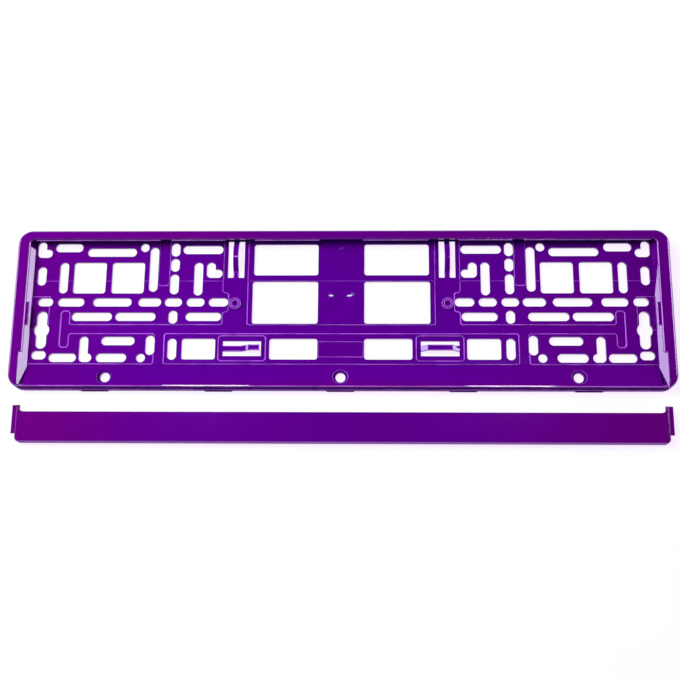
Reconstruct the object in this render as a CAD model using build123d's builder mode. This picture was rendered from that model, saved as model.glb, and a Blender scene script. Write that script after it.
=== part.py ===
from build123d import *
import os

# Number plate holder: a moulded base frame for one car number plate and the
# lower strip that clips over its bottom edge, shown taken off in front of it.
# Millimetres.  X runs along the plate, Y to the top edge, Z out of the face;
# the frame lies on its back, which is the plane Z = 0.

# the number plate and its fit in the bay
plate_width = 520.0
plate_height = 114.0
plate_thickness = 1.2
plate_side_gap = 1.0
plate_top_gap = 0.6
plate_face_gap = 0.2
plate_seat = 8.0

# base frame, outside
side_wall_width = 6.0
top_wall_width = 5.2
lower_margin = 13.2
frame_depth = 12.0
corner_radius = 12.0
rim_round = 2.4
wall = 1.6

# rim lips that hold the plate
side_lip = 4.4
top_lip = 2.5
lip_corner = 3.0
lip_bevel = 0.7
bead_reach = 0.9
bead_height = 1.2
bead_spans = ((17.5, 71.0), (95.0, 140.0), (149.0, 252.0))
tab_reach = 2.8
tab_height = 1.3
tab_length = 20.0
tab_y = -4.5

# floor, its relief and the slope at its ends
floor_thickness = 2.4
relief = 0.8
upper_step = 0.3
upper_step_y = 25.7
side_slope_run = 6.5
cross_channel = (-18.9, -12.2)
cross_channel_end = 229.0
tee_channel_width = 6.4
tee_channel_y = (-30.4, -0.7)
lower_channel_x = 147.8
lower_channel_width = 7.6
upper_channel_x = 146.2
upper_channel_width = 8.5
upper_channel_foot = 22.0
band_x = 86.8
band_width = 19.6
band_notch = 17.0
panel_corner = 1.4
pad_inner_x = 239.0
pad_y = (-16.4, 12.2)
pad_rise = 0.5

# openings through the floor, each with a mirror image about the middle:
# upright slots are (x, low, high), level slots (inner, outer, y)
slot_width = 7.2
slot_sides = 16
screw_slot = (172.0, 203.8)
middle_row_y = 7.3
middle_row = (
    (92.6, 108.4),
    (112.0, 126.6),
    (130.5, 144.6),
    (147.7, 166.4),
    (211.2, 232.8),
    (237.0, 249.2),
)
lower_row_y = -5.0
lower_row = ((98.0, 127.0), (151.7, 184.8), (187.6, 220.6))
upper_uprights = (
    (249.0, 46.0, 59.5),
    (247.7, 21.8, 37.8),
    (229.4, 15.0, 41.6),
    (154.9, 16.4, 54.8),
    (137.4, 47.0, 58.4),
    (137.4, 33.8, 45.0),
    (137.4, 14.2, 31.4),
    (117.7, 13.2, 41.6),
    (107.4, 28.4, 41.6),
)
upper_levels = (
    (240.4, 252.6, 49.6),
    (215.0, 237.8, 54.5),
    (170.0, 210.8, 50.5),
    (98.0, 131.2, 52.7),
    (98.0, 111.0, 32.0),
)
lower_uprights = (
    (137.4, -10.8, 0.2),
    (209.2, -43.2, -21.8),
    (155.1, -37.2, -20.9),
    (137.0, -41.2, -23.4),
)
lower_levels = (
    (239.8, 251.6, -37.5),
    (215.0, 237.4, -39.6),
    (202.4, 212.8, -39.6),
    (174.0, 198.7, -39.6),
    (167.8, 195.0, -25.5),
)
upper_hole = (163.2, 54.6)
lower_hole = (162.2, -39.7)
keyhole_place = (244.7, -16.4)
keyhole_width = 8.6
keyhole_bulge = 12.4
keyhole_length = 31.4
square_side = 26.8
square_round = 2.4
square_outer_x = 207.8
square_gap = 5.0
square_y = 28.3
window_round = 2.0
window_inner_x = 19.0
upper_window = (52.8, 26.8)
upper_window_y = 43.9
middle_window = (53.6, 36.0)
middle_window_y = 7.1
lower_window = (38.8, 17.4)
lower_window_y = -32.2
hatch_window = (27.2, 17.4)
hatch_x = 115.5

# spring tongues
tongue_thickness = 1.6
arch_window = (13.4, 31.4)
arch_y = 44.3
arch_width = 4.6
arch_foot = 4.6
clip_window = (31.0, 12.4)
clip_x = 80.2
clip_y = -31.6
clip_width = 4.8
clip_rise = 4.2
clip_pocket = (37.6, 20.0)

# bosses, dished disc and bare name field in the middle
boss_y = 6.2
boss_outer = 4.9
boss_inner = 2.4
boss_rise = 1.0
boss_gap = 0.2
disc_y = 8.4
disc_radius = 12.0
disc_dish = 1.0
pip_y = 54.3
pip_radius = 1.6
pip_rise = 0.8
name_field = (36.0, 12.0)
name_field_y = -32.4
name_field_depth = 0.5

# lower edge: ramp, skirt, screw seats and catches
ramp_run = 17.8
skirt_height = 4.0
screw_spacing = 190.0
screw_y = -56.0
screw_hole = 8.0
screw_seat = 12.0
screw_seat_z = 3.0
screw_post_wall = 1.6
catch_places = (-198.0, -98.0, 0.0, 98.0, 198.0)
catch_width = 22.0
catch_height = 2.6
catch_z = 6.3
foot_reach = 0.7
foot_height = 1.4
rebate_y = -36.6
rebate_depth = 2.8

# lower strip
strip_height = 24.3
strip_face = 2.2
strip_wall = 1.6
strip_gap = 0.2
strip_end_gap = 0.4
strip_front_round = 1.8
strip_corner = 4.0
ear_width = 2.0
ear_rise = 5.3
ear_round = 4.5
flange_length = 23.0
flange_reach = 3.1
flange_thickness = 1.1
end_rib = 1.0
end_rib_length = 8.5
barb_reach = 0.9
barb_side_gap = 1.0
lay_shift = -42.8

# places that follow from the sizes above
frame_width = plate_width + 2 * (plate_side_gap + side_wall_width)
frame_height = top_wall_width + plate_top_gap + plate_height + lower_margin
half_w = frame_width / 2
half_h = frame_height / 2
bay_half = plate_width / 2 + plate_side_gap
bay_top = half_h - top_wall_width
lip_half = bay_half - side_lip
lip_top = bay_top - top_lip
lip_z = plate_seat + plate_thickness + plate_face_gap
floor_half = bay_half - side_slope_run
rebate_half = lip_half + rebate_depth
setback_y = -half_h + strip_wall + strip_gap
crest_y = setback_y + wall
ramp_foot_y = crest_y + ramp_run
relief_z = floor_thickness - relief
square_inner_x = square_outer_x - square_side - square_gap
notch_x = band_x + boss_outer + boss_gap
strip_half = rebate_half - strip_end_gap
flange_half = strip_half + flange_reach
strip_z = lip_z + strip_gap
strip_top_y = -half_h + strip_height
both = (-1, 1)


def slot_end(x, y):
    """Round end of a slot and its mirror image, as a polygon so that many slots stay light."""
    with Locations((x, y), (-x, y)):
        RegularPolygon(slot_width / 2, slot_sides, major_radius=False, rotation=180 / slot_sides)


def upright(x, low, high):
    """Slot along Y at x from low to high, and its mirror image."""
    span(x - slot_width / 2, x + slot_width / 2, low + slot_width / 2, high - slot_width / 2)
    slot_end(x, low + slot_width / 2)
    slot_end(x, high - slot_width / 2)


def level(inner, outer, y):
    """Slot along X between two distances from the middle, and its mirror image."""
    span(inner + slot_width / 2, outer - slot_width / 2, y - slot_width / 2, y + slot_width / 2)
    slot_end(inner + slot_width / 2, y)
    slot_end(outer - slot_width / 2, y)


def window(x, y, size, rounding):
    """Rounded window centred at x, y and its mirror image."""
    with Locations((x, y), (-x, y)):
        RectangleRounded(*size, rounding)


def span(x0, x1, y0, y1, mode=Mode.ADD):
    """Plain rectangle between two distances from the middle, and its mirror image."""
    with Locations(((x0 + x1) / 2, (y0 + y1) / 2), (-(x0 + x1) / 2, (y0 + y1) / 2)):
        Rectangle(x1 - x0, y1 - y0, mode=mode)


# hollow behind the ramp, left solid in a post round each screw hole
with BuildPart() as ramp_hollow:
    with BuildSketch(Plane.YZ.offset(-floor_half + wall)):
        with BuildLine():
            Polyline(
                (ramp_foot_y, 0),
                (crest_y, lip_z - floor_thickness + wall / 4),
                (crest_y, skirt_height - wall),
                (-half_h + wall, skirt_height - wall),
                (-half_h + wall, 0),
                close=True,
            )
        make_face()
    extrude(amount=2 * (floor_half - wall))
    with BuildSketch():
        with Locations((-screw_spacing, screw_y), (0, screw_y), (screw_spacing, screw_y)):
            Rectangle(screw_seat + 2 * screw_post_wall, screw_seat + 2 * screw_post_wall)
    extrude(amount=frame_depth, mode=Mode.SUBTRACT)

with BuildPart() as base_frame:
    # outer block with a rounded top edge
    with BuildSketch():
        RectangleRounded(frame_width, frame_height, corner_radius)
    extrude(amount=frame_depth)
    fillet(base_frame.edges().group_by(Axis.Z)[-1], rim_round)

    # opening between the lips, its edge bevelled
    with BuildSketch(Plane.XY.offset(lip_z)):
        with Locations((0, (lip_top + crest_y) / 2)):
            RectangleRounded(2 * lip_half, lip_top - crest_y, lip_corner)
    extrude(amount=frame_depth, mode=Mode.SUBTRACT)
    chamfer(base_frame.faces().sort_by(Axis.Z)[-1].inner_wires()[0].edges(), lip_bevel)

    # plate groove under the lips, and the bay with its sloped ends below it
    with BuildSketch(Plane.XZ.offset(-bay_top)):
        with BuildLine():
            Polyline(
                (-floor_half, floor_thickness),
                (-bay_half, plate_seat),
                (-bay_half, lip_z),
                (bay_half, lip_z),
                (bay_half, plate_seat),
                (floor_half, floor_thickness),
                close=True,
            )
        make_face()
    extrude(amount=bay_top - crest_y, mode=Mode.SUBTRACT)

    # rebate for the strip, with an undercut at each side for its flange
    with BuildSketch(Plane.XY.offset(lip_z)):
        with Locations((0, rebate_y)):
            Rectangle(2 * rebate_half, frame_height, align=(Align.CENTER, Align.MAX))
    extrude(amount=frame_depth, mode=Mode.SUBTRACT)
    with BuildSketch(Plane.XY.offset(lip_z)):
        with Locations((0, rebate_y)):
            Rectangle(
                2 * (flange_half + strip_gap),
                flange_length + 3 * strip_gap,
                align=(Align.CENTER, Align.MAX),
            )
    extrude(amount=flange_thickness + 2 * strip_gap, mode=Mode.SUBTRACT)
    with BuildSketch(Plane.XY.offset(skirt_height)):
        with Locations((0, setback_y)):
            Rectangle(2 * (strip_half + strip_gap), frame_height, align=(Align.CENTER, Align.MAX))
    extrude(amount=frame_depth, mode=Mode.SUBTRACT)

    # relief of the floor: channels between the raised panels, and the bed of the ramp
    with BuildSketch(Plane.XY.offset(relief_z)) as channels:
        low, high = cross_channel
        with Locations((0, (low + high) / 2)):
            Rectangle(2 * cross_channel_end, high - low)
        span(cross_channel_end - tee_channel_width, cross_channel_end, *tee_channel_y)
        with Locations((lower_channel_x, low), (-lower_channel_x, low)):
            Rectangle(lower_channel_width, low - ramp_foot_y, align=(Align.CENTER, Align.MAX))
        with Locations((upper_channel_x, upper_channel_foot), (-upper_channel_x, upper_channel_foot)):
            Rectangle(upper_channel_width, bay_top - upper_channel_foot, align=(Align.CENTER, Align.MIN))
        with Locations((band_x, high), (-band_x, high)):
            Rectangle(band_width, bay_top - high, align=(Align.CENTER, Align.MIN))
        notch_low = middle_row_y - band_notch / 2
        notch_high = middle_row_y + band_notch / 2
        span(notch_x, band_x + band_width / 2, notch_low, notch_high, mode=Mode.SUBTRACT)
        with Locations((clip_x, clip_y), (-clip_x, clip_y)):
            Rectangle(*clip_pocket)
        with Locations((0, ramp_foot_y)):
            Rectangle(2 * floor_half, ramp_run, align=(Align.CENTER, Align.MAX))
        inside = channels.vertices().filter_by_position(Axis.Y, ramp_foot_y - wall, bay_top - wall)
        chamfer(inside.filter_by_position(Axis.X, wall - floor_half, floor_half - wall), panel_corner)
    extrude(amount=relief, mode=Mode.SUBTRACT)

    # ramp from its bed up to the lower wall
    with BuildSketch(Plane.YZ.offset(-floor_half)):
        with BuildLine():
            Polyline(
                (ramp_foot_y, 0),
                (ramp_foot_y, relief_z),
                (crest_y, lip_z),
                (setback_y, lip_z),
                (setback_y, 0),
                close=True,
            )
        make_face()
    extrude(amount=2 * floor_half)
    add(ramp_hollow.part, mode=Mode.SUBTRACT)

    # hollow rim, open at the back: one channel along the top, one at each side
    with BuildSketch():
        with Locations((0, bay_top + wall)):
            Rectangle(
                2 * (half_w - corner_radius),
                top_wall_width - 2 * wall,
                align=(Align.CENTER, Align.MIN),
            )
    extrude(amount=frame_depth - wall, mode=Mode.SUBTRACT)
    for side in both:
        with BuildSketch(Plane.XZ.offset(-half_h + corner_radius)):
            with BuildLine():
                Polyline(
                    (side * (floor_half + wall / 2), 0),
                    (side * (bay_half + wall), lip_z - wall),
                    (side * (half_w - wall), lip_z - wall),
                    (side * (half_w - wall), 0),
                    close=True,
                )
            make_face()
        extrude(amount=frame_height - 2 * corner_radius, mode=Mode.SUBTRACT)

    # beads under the top lip and one tab at each side
    with BuildSketch(Plane.XY.offset(lip_z)):
        for inner, outer in bead_spans:
            span(inner, outer, lip_top - bead_reach, lip_top + wall)
    extrude(amount=bead_height)
    with BuildSketch(Plane.XY.offset(lip_z)):
        span(lip_half - tab_reach, lip_half + wall, tab_y - tab_length / 2, tab_y + tab_length / 2)
    extrude(amount=tab_height)

    # shallow step across the upper floor and a pad at each end
    with BuildSketch(Plane.XY.offset(floor_thickness - upper_step)):
        with Locations((0, upper_step_y)):
            Rectangle(2 * floor_half, bay_top - upper_step_y, align=(Align.CENTER, Align.MIN))
    extrude(amount=upper_step, mode=Mode.SUBTRACT)
    with BuildSketch(Plane.XY.offset(floor_thickness)):
        span(pad_inner_x, floor_half, *pad_y)
    extrude(amount=pad_rise)

    # dished disc, pip, ring bosses and bare name field
    dish_sphere = (disc_radius**2 + disc_dish**2) / (2 * disc_dish)
    with Locations((0, disc_y, floor_thickness - disc_dish + dish_sphere)):
        Sphere(dish_sphere, mode=Mode.SUBTRACT)
    with Locations((0, pip_y, floor_thickness - upper_step)):
        Cone(pip_radius, pip_radius / 2, pip_rise, align=(Align.CENTER, Align.CENTER, Align.MIN))
    with BuildSketch(Plane.XY.offset(relief_z)):
        with Locations((band_x, boss_y), (-band_x, boss_y)):
            Circle(boss_outer)
            Circle(boss_inner, mode=Mode.SUBTRACT)
    extrude(amount=relief + boss_rise)
    with BuildSketch(Plane.XY.offset(floor_thickness - name_field_depth)):
        with Locations((0, name_field_y)):
            Rectangle(*name_field)
    extrude(amount=name_field_depth, mode=Mode.SUBTRACT)

    # openings through the floor, mirrored about the middle
    with BuildSketch():
        for place in upper_uprights + lower_uprights:
            upright(*place)
        for place in upper_levels + lower_levels:
            level(*place)
        for inner, outer in middle_row:
            level(inner, outer, middle_row_y)
        for inner, outer in lower_row:
            level(inner, outer, lower_row_y)
        screw_x = (screw_slot[0] + screw_slot[1]) / 2
        with Locations((screw_x, middle_row_y), (-screw_x, middle_row_y)):
            SlotOverall(screw_slot[1] - screw_slot[0], slot_width)
        for x, y in (upper_hole, lower_hole):
            with Locations((x, y), (-x, y)):
                Circle(slot_width / 2)
        key_x, key_y = keyhole_place
        with Locations((key_x, key_y), (-key_x, key_y)):
            SlotOverall(keyhole_length, keyhole_width, rotation=90)
            Circle(keyhole_bulge / 2)
        window(square_outer_x, square_y, (square_side, square_side), square_round)
        window(square_inner_x, square_y, (square_side, square_side), square_round)
        window(window_inner_x + upper_window[0] / 2, upper_window_y, upper_window, window_round)
        window(window_inner_x + middle_window[0] / 2, middle_window_y, middle_window, window_round)
        window(window_inner_x + lower_window[0] / 2, lower_window_y, lower_window, window_round)
        window(hatch_x, lower_window_y, hatch_window, window_round)
        with Locations((band_x, arch_y), (-band_x, arch_y)):
            Rectangle(*arch_window)
        with Locations((clip_x, clip_y), (-clip_x, clip_y)):
            Rectangle(*clip_window)
    extrude(amount=floor_thickness + pad_rise, mode=Mode.SUBTRACT)

    # arched spring tongues across the upright windows
    arch_low = arch_y - arch_window[1] / 2
    arch_high = arch_y + arch_window[1] / 2
    arch_mid = (arch_low + arch_foot + arch_high) / 2
    for side in both:
        with BuildSketch(Plane.YZ.offset(side * band_x)):
            with BuildLine():
                Polyline(
                    (arch_high, relief_z),
                    (arch_high + wall / 2, relief_z),
                    (arch_high + wall / 2, relief_z - tongue_thickness),
                    (arch_high - wall / 2, relief_z - tongue_thickness),
                )
                ThreePointArc(
                    (arch_high - wall / 2, relief_z - tongue_thickness),
                    (arch_mid, plate_seat - plate_face_gap - tongue_thickness),
                    (arch_low + arch_foot + wall / 2, relief_z - tongue_thickness),
                )
                Polyline(
                    (arch_low + arch_foot + wall / 2, relief_z - tongue_thickness),
                    (arch_low - wall / 2, relief_z - tongue_thickness),
                    (arch_low - wall / 2, relief_z),
                    (arch_low + arch_foot, relief_z),
                )
                ThreePointArc(
                    (arch_low + arch_foot, relief_z),
                    (arch_mid, plate_seat - plate_face_gap),
                    (arch_high, relief_z),
                )
            make_face()
        extrude(amount=arch_width / 2, both=True)

    # lower clips: a stepped tongue on the left, a bridge on the right
    clip_in = clip_x - clip_window[0] / 2
    clip_out = clip_x + clip_window[0] / 2
    clip_base = relief_z - tongue_thickness
    with BuildSketch(Plane.XZ.offset(-clip_y)):
        with BuildLine():
            Polyline(
                (-clip_out - wall / 2, clip_base),
                (-clip_x, clip_base),
                (-clip_x + clip_rise * 1.4, clip_base + clip_rise),
                (-clip_in - wall / 2, clip_base + clip_rise),
                (-clip_in - wall / 2, relief_z + clip_rise),
                (-clip_x + clip_rise * 1.3, relief_z + clip_rise),
                (-clip_x - clip_rise * 0.1, relief_z),
                (-clip_out - wall / 2, relief_z),
                close=True,
            )
        make_face()
        with BuildLine():
            Polyline(
                (clip_in - wall / 2, clip_base),
                (clip_in + wall / 2, clip_base),
                (clip_in + clip_rise * 1.4, clip_base + clip_rise),
                (clip_out - clip_rise * 1.4, clip_base + clip_rise),
                (clip_out - wall / 2, clip_base),
                (clip_out + wall / 2, clip_base),
                (clip_out + wall / 2, relief_z),
                (clip_out, relief_z),
                (clip_out - clip_rise * 1.3, relief_z + clip_rise),
                (clip_in + clip_rise * 1.3, relief_z + clip_rise),
                (clip_in, relief_z),
                (clip_in - wall / 2, relief_z),
                close=True,
            )
        make_face()
    extrude(amount=clip_width / 2, both=True)

    # screw seats in the ramp, catch windows and feet of the lower wall
    with BuildSketch(Plane.XY.offset(screw_seat_z)):
        with Locations((-screw_spacing, screw_y), (0, screw_y), (screw_spacing, screw_y)):
            Circle(screw_seat / 2)
    extrude(amount=frame_depth, mode=Mode.SUBTRACT)
    with BuildSketch():
        with Locations((-screw_spacing, screw_y), (0, screw_y), (screw_spacing, screw_y)):
            Circle(screw_hole / 2)
    extrude(amount=screw_seat_z, mode=Mode.SUBTRACT)
    with BuildSketch(Plane.XZ.offset(-crest_y)):
        with Locations(*[(x, catch_z) for x in catch_places]):
            Rectangle(catch_width, catch_height)
    extrude(amount=wall, mode=Mode.SUBTRACT)
    with BuildSketch(Plane.XZ.offset(half_h - wall / 2)):
        with Locations(*[(x, foot_height / 2) for x in catch_places]):
            Rectangle(catch_width, foot_height)
    extrude(amount=wall / 2 + foot_reach)

# the strip is drawn seated on the frame, then laid in front of it
with BuildPart() as lower_strip:
    with BuildSketch(Plane.YZ.offset(-strip_half)):
        with BuildLine():
            Polyline(
                (strip_top_y, strip_z),
                (strip_top_y, strip_z + strip_face),
                (-half_h, strip_z + strip_face),
                (-half_h, skirt_height + strip_gap),
                (-half_h + strip_wall, skirt_height + strip_gap),
                (-half_h + strip_wall, strip_z),
                close=True,
            )
        make_face()
    extrude(amount=2 * strip_half)
    fillet(lower_strip.edges().filter_by(Axis.Z).group_by(Axis.Y)[0], strip_corner)

    # ears that reach up into the rebates of the side rims
    with BuildSketch(Plane.XY.offset(strip_z)):
        for side in both:
            with BuildLine():
                Polyline(
                    (side * strip_half, strip_top_y),
                    (side * strip_half, strip_top_y + ear_rise),
                    (side * (strip_half - ear_width), strip_top_y + ear_rise),
                    (side * (strip_half - ear_width), strip_top_y + ear_round),
                )
                RadiusArc(
                    (side * (strip_half - ear_width), strip_top_y + ear_round),
                    (side * (strip_half - ear_width - ear_round), strip_top_y),
                    side * ear_round,
                )
                Line(
                    (side * (strip_half - ear_width - ear_round), strip_top_y),
                    (side * strip_half, strip_top_y),
                )
            make_face()
    extrude(amount=strip_face)
    top_edges = lower_strip.faces().sort_by(Axis.Z)[-1].edges()
    fillet(top_edges.group_by(Axis.Y)[0], strip_front_round)

    # low flange along each end, rib under it, and barbs for the catches
    with BuildSketch(Plane.XY.offset(strip_z)):
        with Locations((strip_half, strip_top_y + ear_rise), (-strip_half, strip_top_y + ear_rise)):
            Rectangle(2 * flange_reach, flange_length, align=(Align.CENTER, Align.MAX))
    extrude(amount=flange_thickness)
    with BuildSketch(Plane.XY.offset(skirt_height + strip_gap)):
        rib_x = floor_half + strip_gap + end_rib / 2
        with Locations((rib_x, crest_y + strip_gap), (-rib_x, crest_y + strip_gap)):
            Rectangle(end_rib, end_rib_length, align=(Align.CENTER, Align.MIN))
    extrude(amount=strip_z - skirt_height)
    barb_low = catch_z - catch_height / 2 + strip_gap
    barb_high = catch_z + catch_height / 2 - strip_gap
    for x in catch_places:
        with BuildSketch(Plane.YZ.offset(x)):
            with BuildLine():
                Polyline(
                    (-half_h + strip_wall, barb_low),
                    (-half_h + strip_wall + barb_reach, barb_high - strip_gap),
                    (-half_h + strip_wall + barb_reach, barb_high),
                    (-half_h + strip_wall, barb_high),
                    close=True,
                )
            make_face()
        extrude(amount=catch_width / 2 - barb_side_gap, both=True)

strip_laid = lower_strip.part.moved(Location((0, lay_shift, -skirt_height - strip_gap)))

os.makedirs("parts", exist_ok=True)
base_frame.part.label = "base_frame"
strip_laid.label = "lower_strip"
export_step(base_frame.part, "parts/base_frame.step")
export_step(strip_laid, "parts/lower_strip.step")
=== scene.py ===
import math
from collections import namedtuple
from itertools import combinations

import bmesh
import bpy
import numpy as np
from mathutils import Matrix, Vector
from mathutils.geometry import delaunay_2d_cdt


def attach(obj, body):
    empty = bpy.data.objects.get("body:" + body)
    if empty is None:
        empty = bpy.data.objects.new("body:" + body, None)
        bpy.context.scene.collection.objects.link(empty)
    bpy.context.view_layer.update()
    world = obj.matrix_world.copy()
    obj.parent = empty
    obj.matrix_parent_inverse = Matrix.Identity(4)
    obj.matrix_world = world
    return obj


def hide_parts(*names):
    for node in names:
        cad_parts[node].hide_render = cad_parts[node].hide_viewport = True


# Number plate holder in glossy metallised purple: the base frame and its
# clip-on lower strip, dressed in the row's frame. Lengths are in metres,
# angles in radians and lamp powers in watts.

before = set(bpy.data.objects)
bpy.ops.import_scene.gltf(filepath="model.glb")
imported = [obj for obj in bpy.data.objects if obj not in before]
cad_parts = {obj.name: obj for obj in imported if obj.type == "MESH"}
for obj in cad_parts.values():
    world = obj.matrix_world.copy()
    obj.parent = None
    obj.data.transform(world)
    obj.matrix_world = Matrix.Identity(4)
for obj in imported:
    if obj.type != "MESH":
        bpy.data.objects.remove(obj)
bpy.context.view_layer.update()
scene = bpy.context.scene
scene.view_settings.view_transform = "Standard"

# telling the faces of the merged skin apart
MERGE_REACH = 1e-6
FLAT_ANGLE = math.radians(0.3)
CREASE_ANGLE = math.radians(28)
SQUARE = math.radians(90)
UPRIGHT_NORMAL = 0.2
LEVEL_NORMAL = 0.99999
LEVEL_STEP = 0.00001

# rounding of the moulding's edges
EDGE_ROUND = 0.0006
EDGE_SEGMENTS = 3
EDGE_SHARE = 0.42
RIM_ROUND = 0.00015
RIM_TOP = 0.0032
SLANT_CLIMB = 0.005
SLANT_STEEP = 0.9
SHARP_ROOM = 2.0
ROOM_STEPS = 7
ROOM_LEAST = 20 * MERGE_REACH
CHAIN_ANGLE = math.radians(35)
CARRY_ANGLE = math.radians(50)
CORNER_RATIO = 2.5
SHORT_CREASE = 0.0024
# span of face width over which faces take the pale colour of edge wear and painted highlight
WEAR_AND_HIGHLIGHT_WIDTH = (0.00009, 0.00012)
FLAT_WEIGHT = 80

# painted highlights: pale lines beside the relief borders of the floor
LINE_WIDTH = 0.0008
LINE_SHARE = 0.42
LINE_RISE = 1.2
LINE_TOP = 0.0100
LINE_TAPER = 2.0
LINE_LONG = 5.0
MITRE_LEAST = 0.5
BORDER_SPAN = (0.03, 0.97)
BORDER_STEPS = 9
CROSSING_SLACK = 0.001
PARALLEL = 1e-12
MILLIMETRES = 1000.0
CUT_REACH_MM = 1e-4
INSIDE_CELLS = 1

# the dished disc in the middle of the floor
DISH_MIDDLE = Vector((0.0, 0.0084))
DISH_RADIUS = 0.0120
DISH_DEPTH = 0.0010
DISH_NORMAL = 0.98
DISH_CUTS = 5

# the coat: violet, with magenta painted toward the ends and the rims as painted light
VIOLET = (0.130, 0.0003, 0.370, 1.0)
MAGENTA_PAINTED_LIGHT_AND_CLOUD = (0.165, 0.0003, 0.245, 1.0)
# pale colour of edge wear, of the painted highlight lines and of the painted light on the skirt
PALE_COAT_AND_HIGHLIGHT = (0.62, 0.17, 1.0, 1.0)
BACK_COAT = (0.045, 0.002, 0.110, 1.0)
METALLIC = 0.25
LACQUER_IOR = 1.8
LACQUER_ROUGHNESS = 0.04
END_FADE = (0.10, 0.27)
END_TURN = (0.45, 0.75)
STRIP_TOP = (-0.070, -0.078)
STRIP_TURN = 0.25
RIM_FADE = (0.0070, 0.0105)
RIM_TURN = 0.65
CLOUD_DRIFT = 0.1

# the dull back, the skirt on the outside of the lower edge with its painted light, and the edges
# with their wear and painted highlights
BACK_FACING = (-0.5, -0.9)
BACK_ROUGHNESS = 0.55
SKIRT_FACING = (-0.4, -0.8)
SKIRT_TOP = (-0.0600, -0.0650)
# share of pale colour painted on the skirt as painted light from the table in front
SKIRT_PAINTED_LIGHT = 0.6
SKIRT_BARE = 0.9
WEAR_AND_HIGHLIGHT_SPAN = (0.3, 0.7)
WEAR_AND_HIGHLIGHT_LEAST = 0.45
WORN_BARE = 0.85
WORN_ROUGHNESS = 0.12
SHEEN_ROUGHNESS = (0.24, 0.32)

# noises of the coat: scale per metre and detail
NOISE_SPAN = (0.2, 0.8)
CLOUDS = (9.0, 0.0)
WEAR_AND_HIGHLIGHT_PATCHES = (60.0, 2.0)
SHEEN_PATCHES = (45.0, 1.0)
WAVES = (55.0, 1.0)
WAVE_HEIGHT = 0.00004
PEEL = (900.0, 2.0)
PEEL_HEIGHT = 0.000004

# the photographer's view
VIEW_TARGET = Vector((-0.00068, -0.0240, 0.0))
VIEW_ELEVATION = math.radians(75.0)
VIEW_AZIMUTH = 0.11674
VIEW_ROLL = -0.11199
VIEW_DISTANCE = 0.93425
IMAGE_PIXELS = 680
FOCAL_PIXELS = 1151.98
SENSOR = 36.0

# the table and the room
FLOOR_HALF = 6.0
FLOOR_DROP = 0.0003
# table colours: shade and glow make white together; the glow's lilac, left alone in the shadow, is
# painted bounce light
FLOOR_SHADE = (0.09, 0.25, 0.05, 1.0)
FLOOR_GLOW_AND_PAINTED_BOUNCE = (0.92, 0.78, 0.96, 1.0)
GLOW_REACH = (0.50, 1.20)
WHITE = (1.0, 1.0, 1.0, 1.0)
HORIZON_BAND = (0.15, 0.38)
HORIZON_LEVEL = 0.96
CEILING_LEVEL = 0.0
SEEN_LEVEL = 1.0

# the lamps
LEFT_PLACE = (-1.6, 0.58, 0.5)
LEFT_SIZE = (0.6, 0.9)
LEFT_POWER = 7.3
RIGHT_PLACE = (1.6, 0.58, 0.9)
RIGHT_SIZE = (0.6, 1.2)
RIGHT_POWER = 12.5
KEY_PLACE = (-0.9, 0.35, 1.3)
KEY_SIZE = (1.2, 0.9)
KEY_POWER = 29.0
GLINT_PLACES = {"left_glint": (-0.36, 0.312, 1.7), "right_glint": (0.34, 0.312, 1.7)}
GLINT_SIZE = (0.20, 0.034)
GLINT_POWER = 0.35

# a border of a floor level: its vertices, the directions along it and inward, its line's width
Border = namedtuple("Border", "start end along inward width")


def segment_distance(points, starts, ends):
    """Distance from each point to each straight segment: the point is dropped on the segment's
    line, kept between its ends, and measured from there."""
    run = ends - starts
    along = ((points[:, None] - starts) * run).sum(2) / (run * run).sum(1)
    foot = starts + np.clip(along, 0.0, 1.0)[:, :, None] * run
    return np.linalg.norm(points[:, None] - foot, axis=2)


def edge_chains(starts, ends):
    """Numbers the edges of a face by chain: the edges go round the face, and a new chain starts
    wherever two of them turn by more than CHAIN_ANGLE. A face without such a turn has no chains."""
    headings = ends - starts
    headings /= np.linalg.norm(headings, axis=1)[:, None]
    turns = (headings * np.roll(headings, -1, axis=0)).sum(1) < math.cos(CHAIN_ANGLE)
    if not turns.any():
        return None
    count = len(starts)
    order = (np.arange(count) + int(np.argmax(turns)) + 1) % count
    chain = np.empty(count, int)
    chain[order] = np.concatenate([[0], np.cumsum(turns[order[:-1]])])
    return chain


def crease_room(face, creases):
    """Free width beside each crease of a flat face: the least distance from the crease to the
    face's other edges, SHARP_ROOM times that to an edge that stays sharp, leaving out the crease's
    neighbours and the chain that it is part of."""
    starts = np.array([loop.vert.co for loop in face.loops])
    ends = np.roll(starts, -1, axis=0)
    chain = edge_chains(starts, ends)
    if chain is None:
        return {}
    count = len(starts)
    steps = np.linspace(0.0, 1.0, ROOM_STEPS)[:, None]
    stretch = np.where([loop.edge in creases for loop in face.loops], 1.0, SHARP_ROOM)
    room = {}
    for index, loop in enumerate(face.loops):
        if loop.edge not in creases:
            continue
        other = chain != chain[index]
        other[[(index - 1) % count, (index + 1) % count]] = False
        if not other.any():
            continue
        start, end = starts[index:index + 1], ends[index:index + 1]
        out = segment_distance(start + steps * (end - start), starts[other], ends[other]).min(0)
        back = segment_distance(starts[other], start, end)[:, 0]
        free = np.minimum(out, back) * stretch[other]
        free = free[free > ROOM_LEAST]
        if len(free):
            room[loop.edge] = free.min()
    return room


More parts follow.
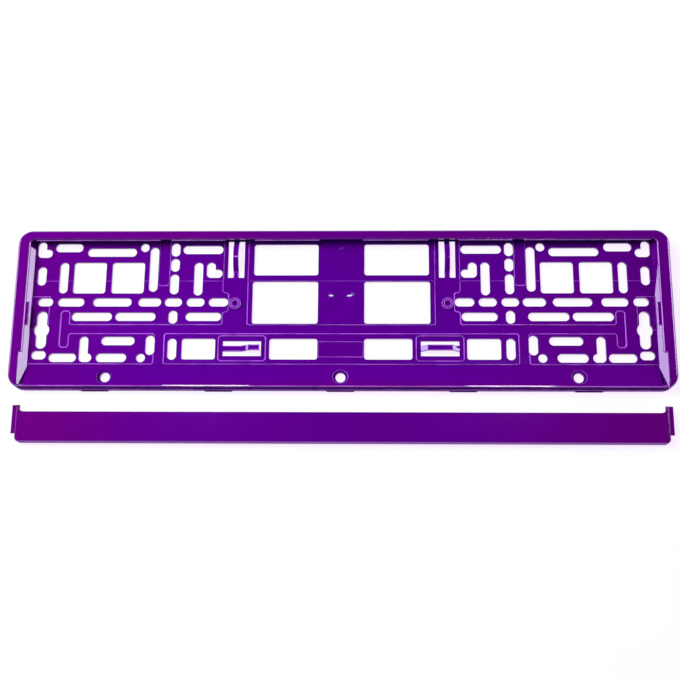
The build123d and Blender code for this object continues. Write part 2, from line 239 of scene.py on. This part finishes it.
def crease_runs(creases):
    """Joins creases that carry on from each other, turning by less than CHAIN_ANGLE, into runs.
    Gives the leading crease of each one's run, the pairs of runs that meet at corners, and the
    runs that another one carries on at a corner below CARRY_ANGLE."""
    leader = {edge: edge for edge in creases}

    def lead(edge):
        while leader[edge] is not edge:
            edge = leader[edge]
        return edge

    corners = []
    carried = set()
    for vert in dict.fromkeys(vert for edge in creases for vert in edge.verts):
        spokes = [edge for edge in vert.link_edges if edge in creases]
        for pair in combinations(spokes, 2):
            first, second = (edge.other_vert(vert).co - vert.co for edge in pair)
            bend = math.pi - first.angle(second)
            if bend < CHAIN_ANGLE:
                leader[lead(pair[0])] = lead(pair[1])
                continue
            corners.append(pair)
            if bend < CARRY_ANGLE:
                carried.update(pair)
    run = {edge: lead(edge) for edge in creases}
    corners = dict.fromkeys((run[first], run[second]) for first, second in corners)
    return run, list(corners), {run[edge] for edge in carried}


def even_out(room, creases):
    """Evens the free widths: the creases of a run share the least of theirs, at a corner none is
    more than CORNER_RATIO times another, and a short run that no other one carries on gets none."""
    run, corners, carried = crease_runs(creases)
    shared = {}
    length = {}
    for edge in creases:
        top = run[edge]
        shared[top] = min(shared.get(top, room[edge]), room[edge])
        length[top] = length.get(top, 0.0) + edge.calc_length()
    short = {top for top in shared if length[top] < SHORT_CREASE} - carried
    corners = [pair for pair in corners if not short.intersection(pair)]
    settled = False
    while not settled:
        settled = True
        for pair in corners:
            most = min(shared[top] for top in pair) * CORNER_RATIO
            for top in pair:
                if shared[top] > most:
                    shared[top] = most
                    settled = False
    return {edge: 0.0 if run[edge] in short else shared[run[edge]] for edge in creases}


def opening_rim(edge):
    """True on the rim of an opening: one of the edge's faces is upright, starts at the back and
    ends at the floor."""
    for face in edge.link_faces:
        heights = [vert.co.z for vert in face.verts]
        upright = abs(face.normal.z) < UPRIGHT_NORMAL
        if upright and min(heights) < MERGE_REACH and max(heights) < RIM_TOP:
            return True
    return False


def lined_border(edge):
    """True on a border with a pale line of painted highlight: one of the edge's faces is level, the
    other is an upright step below it; openings and the high rim of the frame have none."""
    faces = sorted(edge.link_faces, key=lambda face: face.normal.z)
    if len(faces) != 2 or faces[1].normal.z < LEVEL_NORMAL:
        return False
    if abs(faces[0].normal.z) > UPRIGHT_NORMAL:
        return False
    if edge.calc_face_angle_signed(0.0) < CREASE_ANGLE or opening_rim(edge):
        return False
    return edge.verts[0].co.z < LINE_TOP


def free_floor(start, end, inward, firsts, seconds):
    """Free width beside a straight border: from points on it a way goes inward at a right angle to
    where it crosses one of the floor's other edges, and the middle one of these ways counts."""
    points = start + np.linspace(*BORDER_SPAN, BORDER_STEPS)[:, None] * (end - start)
    run = seconds - firsts
    across = inward[0] * run[:, 1] - inward[1] * run[:, 0]
    across = np.where(np.abs(across) < PARALLEL, np.inf, across)
    gap = firsts[None] - points[:, None]
    way = (gap[:, :, 0] * run[:, 1] - gap[:, :, 1] * run[:, 0]) / across
    share = (gap[:, :, 0] * inward[1] - gap[:, :, 1] * inward[0]) / across
    crossed = (share > -CROSSING_SLACK) & (share < 1.0 + CROSSING_SLACK) & (way > MERGE_REACH)
    return np.median(np.where(crossed, way, np.inf).min(1))


def floor_borders(lined, floor):
    """Lined borders of one floor level. A line is LINE_WIDTH wide, at most LINE_RISE times the
    height of the step below it and LINE_SHARE of the free width beside it."""
    inside = set(floor)
    rims = [edge for edge in dict.fromkeys(edge for face in floor for edge in face.edges)
            if sum(face in inside for face in edge.link_faces) == 1]
    firsts = np.array([edge.verts[0].co.xy for edge in rims])
    seconds = np.array([edge.verts[1].co.xy for edge in rims])
    borders = []
    for loop in (loop for face in floor for loop in face.loops if loop.edge in lined):
        start, end = loop.vert, loop.link_loop_next.vert
        along = (end.co - start.co).xy.normalized()
        inward = Vector((-along.y, along.x))
        free = free_floor(np.array(start.co.xy), np.array(end.co.xy), inward, firsts, seconds)
        step = loop.link_loop_radial_next.face
        rise = start.co.z - min(vert.co.z for vert in step.verts)
        width = min(LINE_WIDTH, LINE_RISE * rise, LINE_SHARE * free)
        borders.append(Border(start, end, along, inward, width))
    return borders


def mitre(vert, borders):
    """Inner corner of the lines at a vertex, as a list of one point: from the vertex along the sum
    of the two inward directions, to the narrower line's width from both borders. The list is empty
    where not two borders meet, or where they fold back sharply."""
    if len(borders) != 2:
        return []
    both = borders[0].inward + borders[1].inward
    if both.length_squared <= MITRE_LEAST:
        return []
    least = min(border.width for border in borders)
    return [vert.co.xy + both * (2.0 * least / both.length_squared)]


def border_strips(borders):
    """Strips of painted highlight beside borders, each as the border's two vertices and the points
    of the strip's inner side, which is mitred where two borders meet and tapers to nothing, over
    LINE_TAPER times its width, where one ends. A border shorter than LINE_LONG times the width has
    its mitres only."""
    meeting = {}
    for border in borders:
        meeting.setdefault(border.start, []).append(border)
        meeting.setdefault(border.end, []).append(border)
    strips = []
    for start, end, along, inward, width in borders:
        at_end = mitre(end, meeting[end])
        at_start = mitre(start, meeting[start])
        if (end.co - start.co).length > LINE_LONG * width:
            taper = along * (LINE_TAPER * width)
            at_end = at_end + [end.co.xy - taper + inward * width]
            at_start = [start.co.xy + taper + inward * width] + at_start
        if at_end + at_start:
            strips.append((start, end, at_end + at_start))
    return strips


def cut_floor(skin, floor, strips):
    """Cuts one floor level along its strips: its faces and the strips go through one flat
    triangulation, in millimetres, the cells that lie in a strip get the second material index,
    and cells of one index are joined again."""
    height = floor[0].verts[0].co.z
    corners = list(dict.fromkeys(vert for face in floor for vert in face.verts))
    number = {vert: index for index, vert in enumerate(corners)}
    spots = [vert.co.xy * MILLIMETRES for vert in corners]
    outlines = [[number[vert] for vert in face.verts] for face in floor]
    for start, end, inner in strips:
        added = range(len(spots), len(spots) + len(inner))
        outlines.append([number[start], number[end], *added])
        spots += [point * MILLIMETRES for point in inner]
    count = len(floor)
    bmesh.ops.delete(skin, geom=floor, context="FACES_KEEP_BOUNDARY")
    spots, _, cells, sources, _, owners = delaunay_2d_cdt(
        spots, [], outlines, INSIDE_CELLS, CUT_REACH_MM)
    verts = []
    for spot, source in zip(spots, sources):
        old = [corners[index] for index in source if index < len(corners)]
        old = [vert for vert in old if vert.is_valid]
        point = (spot.x / MILLIMETRES, spot.y / MILLIMETRES, height)
        verts.append(old[0] if old else skin.verts.new(point))
    made = []
    for cell, owner in zip(cells, owners):
        if any(index < count for index in owner):
            face = skin.faces.new([verts[index] for index in cell])
            face.material_index = int(any(index >= count for index in owner))
            made.append(face)
    skin.normal_update()
    edges = list(dict.fromkeys(edge for face in made for edge in face.edges))
    bmesh.ops.dissolve_limit(
        skin, angle_limit=FLAT_ANGLE, verts=[], edges=edges, delimit={"MATERIAL"})


def draw_painted_highlight_lines(skin):
    """Draws the pale lines of painted highlight: the level faces of the skin are sorted by height
    into floor levels, and each level is cut along the strips beside its lined borders."""
    lined = {edge for edge in skin.edges if lined_border(edge)}
    levels = {}
    for face in skin.faces:
        if face.normal.z > LEVEL_NORMAL:
            levels.setdefault(round(face.verts[0].co.z / LEVEL_STEP), []).append(face)
    for floor in levels.values():
        strips = border_strips(floor_borders(lined, floor))
        if strips:
            cut_floor(skin, floor, strips)


def dish_faces(skin):
    """Faces of the dished disc: not quite level, with their middles inside its radius."""
    return [face for face in skin.faces if DISH_NORMAL < face.normal.z < LEVEL_NORMAL
            and (face.calc_center_median().xy - DISH_MIDDLE).length < DISH_RADIUS]


def fine_dish(skin):
    """Gives the dished disc in the middle of the floor a finer skin: its faces are parted, and the
    new points drop to the bowl's depth, which falls with the square of the distance from its middle
    from DISH_DEPTH to nothing at DISH_RADIUS."""
    bowl = dish_faces(skin)
    if not bowl:
        return
    top = max(vert.co.z for face in bowl for vert in face.verts)
    bmesh.ops.triangulate(skin, faces=bowl)
    bowl = dish_faces(skin)
    inside = [edge for edge in dict.fromkeys(edge for face in bowl for edge in face.edges)
              if all(face in bowl for face in edge.link_faces)]
    parts = bmesh.ops.subdivide_edges(skin, edges=inside, cuts=DISH_CUTS, use_grid_fill=True)
    for item in parts["geom_inner"]:
        if isinstance(item, bmesh.types.BMVert):
            share = (item.co.xy - DISH_MIDDLE).length / DISH_RADIUS
            item.co.z = top - DISH_DEPTH * max(0.0, 1.0 - share * share)


def outward_creases(skin):
    """Creases that get rounded, with the most for each: RIM_ROUND on openings, else EDGE_ROUND
    times the square of the crease's part of a right angle, up to one. A slant, which climbs more
    than SLANT_CLIMB but less than SLANT_STEEP of its length, is left out. All edges are marked
    smooth or sharp by their angle on the way."""
    creases = {}
    for edge in skin.edges:
        angle = edge.calc_face_angle_signed(0.0)
        edge.smooth = abs(angle) < CREASE_ANGLE
        climb = abs(edge.verts[1].co.z - edge.verts[0].co.z)
        slant = SLANT_CLIMB < climb < edge.calc_length() * SLANT_STEEP
        if angle > CREASE_ANGLE and not slant:
            most = EDGE_ROUND * min(1.0, (angle / SQUARE) ** 2)
            creases[edge] = RIM_ROUND if opening_rim(edge) else most
    return creases


def weigh_creases(skin):
    """Gives each outward crease its rounding weight, EDGE_SHARE of its free width over EDGE_ROUND,
    up to one; a crease without room stays sharp."""
    weight = skin.edges.layers.float.new("bevel_weight_edge")
    creases = outward_creases(skin)
    room = {edge: most / EDGE_SHARE for edge, most in creases.items()}
    for face in skin.faces:
        for edge, free in crease_room(face, creases).items():
            room[edge] = min(room[edge], free)
    for edge, free in even_out(room, creases).items():
        edge[weight] = min(1.0, EDGE_SHARE * free / EDGE_ROUND)
        edge.smooth = free > 0.0


def merged_copy(node, name):
    """Copy of a CAD node's mesh: loose triangles are merged into one skin, flat neighbours are
    joined, the frame gets its fine dish and its pale lines of painted highlight, and the creases
    get their weights."""
    skin = bmesh.new()
    skin.from_mesh(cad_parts[node].data)
    bmesh.ops.remove_doubles(skin, verts=skin.verts, dist=MERGE_REACH)
    bmesh.ops.dissolve_limit(skin, angle_limit=FLAT_ANGLE, verts=skin.verts, edges=skin.edges)
    if node == "base_frame":
        fine_dish(skin)
        draw_painted_highlight_lines(skin)
    weigh_creases(skin)
    mesh = bpy.data.meshes.new(name)
    skin.to_mesh(mesh)
    skin.free()
    mesh.polygons.foreach_set("use_smooth", np.ones(len(mesh.polygons), bool))
    piece = bpy.data.objects.new(name, mesh)
    scene.collection.objects.link(piece)
    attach(piece, "root")
    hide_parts(node)
    return piece


def column(items, name, size=1, kind=np.int32):
    """Array of one property of all items of a mesh, with so many numbers for each item."""
    values = np.zeros(size * len(items), kind)
    items.foreach_get(name, values)
    return values


def mark_rounded_and_highlit(mesh):
    """Marks the faces of the second material index, the rounded edges and the strips of painted
    highlight, with the attribute rounded, which goes from 0 to 1 over WEAR_AND_HIGHLIGHT_WIDTH with
    a face's width, its area over its longest side; then one material is enough."""
    kind = column(mesh.polygons, "material_index")
    spots = column(mesh.vertices, "co", 3, float).reshape(-1, 3)
    tips = spots[column(mesh.edges, "vertices", 2).reshape(-1, 2)]
    reach = np.linalg.norm(tips[:, 1] - tips[:, 0], axis=1)
    sides = reach[column(mesh.loops, "edge_index")]
    longest = np.maximum.reduceat(sides, column(mesh.polygons, "loop_start"))
    width = column(mesh.polygons, "area", 1, float) / longest
    share = np.clip((width - WEAR_AND_HIGHLIGHT_WIDTH[0]) / (WEAR_AND_HIGHLIGHT_WIDTH[1] - WEAR_AND_HIGHLIGHT_WIDTH[0]), 0.0, 1.0)
    # rounded marks edge wear and painted highlights alike
    rounded = mesh.attributes.new("rounded", "FLOAT", "FACE")
    rounded.data.foreach_set("value", (kind * share).astype(np.float32))
    mesh.polygons.foreach_set("material_index", np.zeros_like(kind))
    mesh.materials.pop(index=1)


def round_edges(piece, finish):
    """Rounds the weighted creases of a moulding, marks the rounded faces, and keeps flat normals on
    flat faces."""
    bare = piece.data
    bare.materials.append(finish)
    bare.materials.append(finish)
    bevel = piece.modifiers.new("edge_round", "BEVEL")
    bevel.width = EDGE_ROUND
    bevel.segments = EDGE_SEGMENTS
    bevel.limit_method = "WEIGHT"
    bevel.use_clamp_overlap = False
    bevel.material = 1
    bpy.context.view_layer.update()
    ready = piece.evaluated_get(bpy.context.evaluated_depsgraph_get())
    mesh = bpy.data.meshes.new_from_object(ready)
    piece.modifiers.remove(bevel)
    piece.data = mesh
    mesh.name = bare.name
    bpy.data.meshes.remove(bare)
    mark_rounded_and_highlit(mesh)
    flat = piece.modifiers.new("flat_faces", "WEIGHTED_NORMAL")
    flat.mode = "FACE_AREA"
    flat.weight = FLAT_WEIGHT
    flat.keep_sharp = True


def link(tree, source, target):
    """Joins an output socket to an input socket."""
    tree.links.new(source, target)


def split(tree, vector):
    """The X, Y and Z outputs of a vector."""
    node = tree.nodes.new("ShaderNodeSeparateXYZ")
    link(tree, vector, node.inputs["Vector"])
    return node.outputs


def maths(tree, operation, first, second):
    """Math node of an operation on two inputs, each a socket or a number; gives its output."""
    node = tree.nodes.new("ShaderNodeMath")
    node.operation = operation
    for socket, value in zip(node.inputs, (first, second)):
        if isinstance(value, (int, float)):
            socket.default_value = value
        else:
            link(tree, value, socket)
    return node.outputs["Value"]


def fade(tree, value, span, low=0.0, high=1.0):
    """Smooth change from low to high while a value crosses a span; gives its output."""
    node = tree.nodes.new("ShaderNodeMapRange")
    node.interpolation_type = "SMOOTHSTEP"
    limits = dict(zip(("From Min", "From Max", "To Min", "To Max"), (*span, low, high)))
    for name, limit in limits.items():
        node.inputs[name].default_value = limit
    link(tree, value, node.inputs["Value"])
    return node.outputs["Result"]


def blend(tree, share, first, second):
    """Colour mix of two inputs, each a socket or a colour, by a share; gives its output."""
    node = tree.nodes.new("ShaderNodeMix")
    node.data_type = "RGBA"
    link(tree, share, node.inputs["Factor"])
    for socket, value in ((node.inputs["A"], first), (node.inputs["B"], second)):
        if isinstance(value, tuple):
            socket.default_value = value
        else:
            link(tree, value, socket)
    return node.outputs["Result"]


def noise(tree, place, scale, detail):
    """Noise on the object's own coordinates at a scale per metre; gives its value output."""
    node = tree.nodes.new("ShaderNodeTexNoise")
    node.inputs["Scale"].default_value = scale
    node.inputs["Detail"].default_value = detail
    link(tree, place, node.inputs["Vector"])
    return node.outputs["Fac"]


def bump(tree, height, distance, below=None):
    """Bump of a height field by a distance in metres over another normal; gives its output."""
    node = tree.nodes.new("ShaderNodeBump")
    node.inputs["Strength"].default_value = 1.0
    node.inputs["Distance"].default_value = distance
    link(tree, height, node.inputs["Height"])
    if below is not None:
        link(tree, below, node.inputs["Normal"])
    return node.outputs["Normal"]


def painted_light_and_cloud_share(tree, place):
    """Share of magenta painted into the coat as painted light: it rises over END_FADE to both ends,
    to the frame's or the strip's END_TURN, starts at STRIP_TURN on the strip, is RIM_TURN on the
    rims, and drifts by CLOUD_DRIFT with a cloudy noise, which is the coat's own random tone."""
    across, up, high = split(tree, place)
    ends = fade(tree, maths(tree, "ABSOLUTE", across, 0.0), END_FADE)
    most = fade(tree, up, STRIP_TOP, *END_TURN)
    least = fade(tree, up, STRIP_TOP, 0.0, STRIP_TURN)
    ends = maths(tree, "ADD", maths(tree, "MULTIPLY", ends, most), least)
    rims = fade(tree, high, RIM_FADE, 0.0, RIM_TURN)
    drift = fade(tree, noise(tree, place, *CLOUDS), NOISE_SPAN, -CLOUD_DRIFT, CLOUD_DRIFT)
    turn = maths(tree, "ADD", maths(tree, "MAXIMUM", ends, rims), drift)
    turn.node.use_clamp = True
    return turn


def coat_masks(tree, place):
    """Masks of the coat: the back, by faces that look down; the skirt, by faces on the outside of
    the lower edge, where a paler colour is painted as painted light; and the edges, the attribute
    rounded in patches of noise, where wear and painted highlights are mixed."""
    normal = tree.nodes.new("ShaderNodeNewGeometry").outputs["True Normal"]
    facing = split(tree, normal)
    back = fade(tree, facing["Z"], BACK_FACING)
    skirt = maths(tree, "MULTIPLY", fade(tree, facing["Y"], SKIRT_FACING),
                  fade(tree, split(tree, place)["Y"], SKIRT_TOP))
    edge = tree.nodes.new("ShaderNodeAttribute")
    edge.attribute_name = "rounded"
    patch = fade(tree, noise(tree, place, *WEAR_AND_HIGHLIGHT_PATCHES), WEAR_AND_HIGHLIGHT_SPAN, WEAR_AND_HIGHLIGHT_LEAST)
    wear_and_highlight = maths(tree, "MULTIPLY", edge.outputs["Fac"], patch)
    return back, skirt, wear_and_highlight


def metallised_purple():
    """Material: a bright metallised layer under clear lacquer, violet, with magenta painted toward
    the ends and the rims as painted light. The edges and the skirt show a paler coat with less
    lacquer, on the edges partly wear and partly painted highlight, on the skirt painted light; the
    back is dull and bare, and the moulded skin is slightly wavy, with a fine peel below the
    lacquer."""
    material = bpy.data.materials.new("metallised_purple")
    material.use_nodes = True
    tree = material.node_tree
    shader = tree.nodes["Principled BSDF"]
    shader.inputs["Metallic"].default_value = METALLIC
    shader.inputs["Specular IOR Level"].default_value = 0.0
    shader.inputs["Coat IOR"].default_value = LACQUER_IOR
    shader.inputs["Coat Roughness"].default_value = LACQUER_ROUGHNESS
    place = tree.nodes.new("ShaderNodeTexCoord").outputs["Object"]
    back, skirt, wear_and_highlight = coat_masks(tree, place)

    # painted light: magenta toward the ends and the rims, with the coat's own cloudy tone
    hue = blend(tree, painted_light_and_cloud_share(tree, place), VIOLET, MAGENTA_PAINTED_LIGHT_AND_CLOUD)
    # pale share: edge wear with painted highlights, and painted light on the skirt
    wear_and_painted_light = maths(tree, "MAXIMUM", wear_and_highlight, maths(tree, "MULTIPLY", skirt, SKIRT_PAINTED_LIGHT))
    hue = blend(tree, wear_and_painted_light, hue, PALE_COAT_AND_HIGHLIGHT)
    hue = blend(tree, back, hue, BACK_COAT)
    link(tree, hue, shader.inputs["Base Color"])

    sheen = fade(tree, noise(tree, place, *SHEEN_PATCHES), NOISE_SPAN, *SHEEN_ROUGHNESS)
    sheen = maths(tree, "ADD", sheen, maths(tree, "MULTIPLY", wear_and_highlight, WORN_ROUGHNESS))
    rough = maths(tree, "MAXIMUM", sheen, maths(tree, "MULTIPLY", back, BACK_ROUGHNESS))
    link(tree, rough, shader.inputs["Roughness"])

    bare = maths(tree, "MAXIMUM", back, maths(tree, "MULTIPLY", skirt, SKIRT_BARE))
    bare = maths(tree, "MAXIMUM", bare, maths(tree, "MULTIPLY", wear_and_highlight, WORN_BARE))
    link(tree, maths(tree, "SUBTRACT", 1.0, bare), shader.inputs["Coat Weight"])

    wave = bump(tree, noise(tree, place, *WAVES), WAVE_HEIGHT)
    peel = bump(tree, noise(tree, place, *PEEL), PEEL_HEIGHT, wave)
    link(tree, peel, shader.inputs["Normal"])
    link(tree, wave, shader.inputs["Coat Normal"])
    return material


def white_table():
    """Material: a pale glow, only for what is seen directly, mirrored or through something clear,
    added to the lamps' own shading. The two make white together, and in the shadow the glow alone
    stays, in a lilac that is painted into it as painted bounce light from the moulding. Far from
    the middle, where the lamps fade, the glow is white by itself."""
    material = bpy.data.materials.new("white_table")
    material.use_nodes = True
    tree = material.node_tree
    tree.nodes.clear()
    matt = tree.nodes.new("ShaderNodeBsdfDiffuse")
    matt.inputs["Color"].default_value = FLOOR_SHADE
    glow = tree.nodes.new("ShaderNodeEmission")
    away = tree.nodes.new("ShaderNodeVectorMath")
    away.operation = "LENGTH"
    link(tree, tree.nodes.new("ShaderNodeTexCoord").outputs["Object"], away.inputs[0])
    far = fade(tree, away.outputs["Value"], GLOW_REACH)
    link(tree, blend(tree, far, FLOOR_GLOW_AND_PAINTED_BOUNCE, WHITE), glow.inputs["Color"])
    rays = tree.nodes.new("ShaderNodeLightPath").outputs
    seen = maths(tree, "MAXIMUM", rays["Is Camera Ray"], rays["Is Glossy Ray"])
    seen = maths(tree, "MAXIMUM", seen, rays["Is Transmission Ray"])
    link(tree, seen, glow.inputs["Strength"])
    both = tree.nodes.new("ShaderNodeAddShader")
    link(tree, matt.outputs["BSDF"], both.inputs[0])
    link(tree, glow.outputs["Emission"], both.inputs[1])
    out = tree.nodes.new("ShaderNodeOutputMaterial")
    link(tree, both.outputs["Shader"], out.inputs["Surface"])
    return material


def studio_floor():
    """White table: a wide level square just below the moulding's back."""
    corners = np.array([(-1, -1), (1, -1), (1, 1), (-1, 1)], float) * FLOOR_HALF
    corners = np.column_stack([corners, np.full(4, -FLOOR_DROP)])
    mesh = bpy.data.meshes.new("table")
    mesh.from_pydata(corners.tolist(), [], [(0, 1, 2, 3)])
    mesh.materials.append(white_table())
    table = bpy.data.objects.new("table", mesh)
    scene.collection.objects.link(table)


def studio_world():
    """Soft room: bright at the horizon, fading over HORIZON_BAND to a dark ceiling, which the flats
    mirror, and plain white where the camera sees it."""
    world = bpy.data.worlds.new("studio")
    scene.world = world
    world.use_nodes = True
    tree = world.node_tree
    tree.nodes.clear()
    height = split(tree, tree.nodes.new("ShaderNodeTexCoord").outputs["Generated"])["Z"]
    room = fade(tree, height, HORIZON_BAND, HORIZON_LEVEL, CEILING_LEVEL)
    rays = tree.nodes.new("ShaderNodeLightPath").outputs
    level = tree.nodes.new("ShaderNodeMix")
    level.data_type = "FLOAT"
    link(tree, rays["Is Camera Ray"], level.inputs["Factor"])
    link(tree, room, level.inputs["A"])
    level.inputs["B"].default_value = SEEN_LEVEL
    sky = tree.nodes.new("ShaderNodeBackground")
    sky.inputs["Color"].default_value = WHITE
    link(tree, level.outputs["Result"], sky.inputs["Strength"])
    out = tree.nodes.new("ShaderNodeOutputWorld")
    link(tree, sky.outputs["Background"], out.inputs["Surface"])


def softbox(name, place, size, power, target=(0.0, 0.0, 0.0), mirrored=True):
    """Rectangular soft lamp at a place, facing a target; one that isn't mirrored gives plain light
    only and leaves no patch on glossy faces."""
    lamp = bpy.data.lights.new(name, "AREA")
    lamp.shape = "RECTANGLE"
    lamp.size, lamp.size_y = size
    lamp.energy = power
    holder = bpy.data.objects.new(name, lamp)
    holder.location = place
    facing = Vector(target) - Vector(place)
    holder.rotation_euler = facing.to_track_quat("-Z", "Y").to_euler()
    holder.visible_glossy = mirrored
    scene.collection.objects.link(holder)


def studio_lamps():
    """Side lamps for the end walls, a key lamp for the table and the shadow, and two small ones
    straight overhead for the highlights in the dish."""
    softbox("left_softbox", LEFT_PLACE, LEFT_SIZE, LEFT_POWER)
    softbox("right_softbox", RIGHT_PLACE, RIGHT_SIZE, RIGHT_POWER)
    softbox("key_softbox", KEY_PLACE, KEY_SIZE, KEY_POWER, mirrored=False)
    for name, place in GLINT_PLACES.items():
        softbox(name, place, GLINT_SIZE, GLINT_POWER, target=(place[0], place[1], 0.0))


def photographers_camera():
    """Camera at an elevation, azimuth and distance from the target, rolled about its view."""
    forward = Vector((
        -math.sin(VIEW_AZIMUTH) * math.cos(VIEW_ELEVATION),
        math.cos(VIEW_AZIMUTH) * math.cos(VIEW_ELEVATION),
        -math.sin(VIEW_ELEVATION),
    ))
    right = Vector((math.cos(VIEW_AZIMUTH), math.sin(VIEW_AZIMUTH), 0.0))
    right.rotate(Matrix.Rotation(-VIEW_ROLL, 3, forward))
    up = right.cross(forward)
    lens = bpy.data.cameras.new("view")
    lens.sensor_width = SENSOR
    lens.lens = SENSOR * FOCAL_PIXELS / IMAGE_PIXELS
    camera = bpy.data.objects.new("view", lens)
    turn = Matrix((right, up, -forward)).transposed().to_4x4()
    camera.matrix_world = Matrix.Translation(VIEW_TARGET - forward * VIEW_DISTANCE) @ turn
    scene.collection.objects.link(camera)
    scene.camera = camera


finish = metallised_purple()
for node in ("base_frame", "lower_strip"):
    round_edges(merged_copy(node, "moulded_" + node), finish)

studio_floor()
studio_world()
studio_lamps()
photographers_camera()
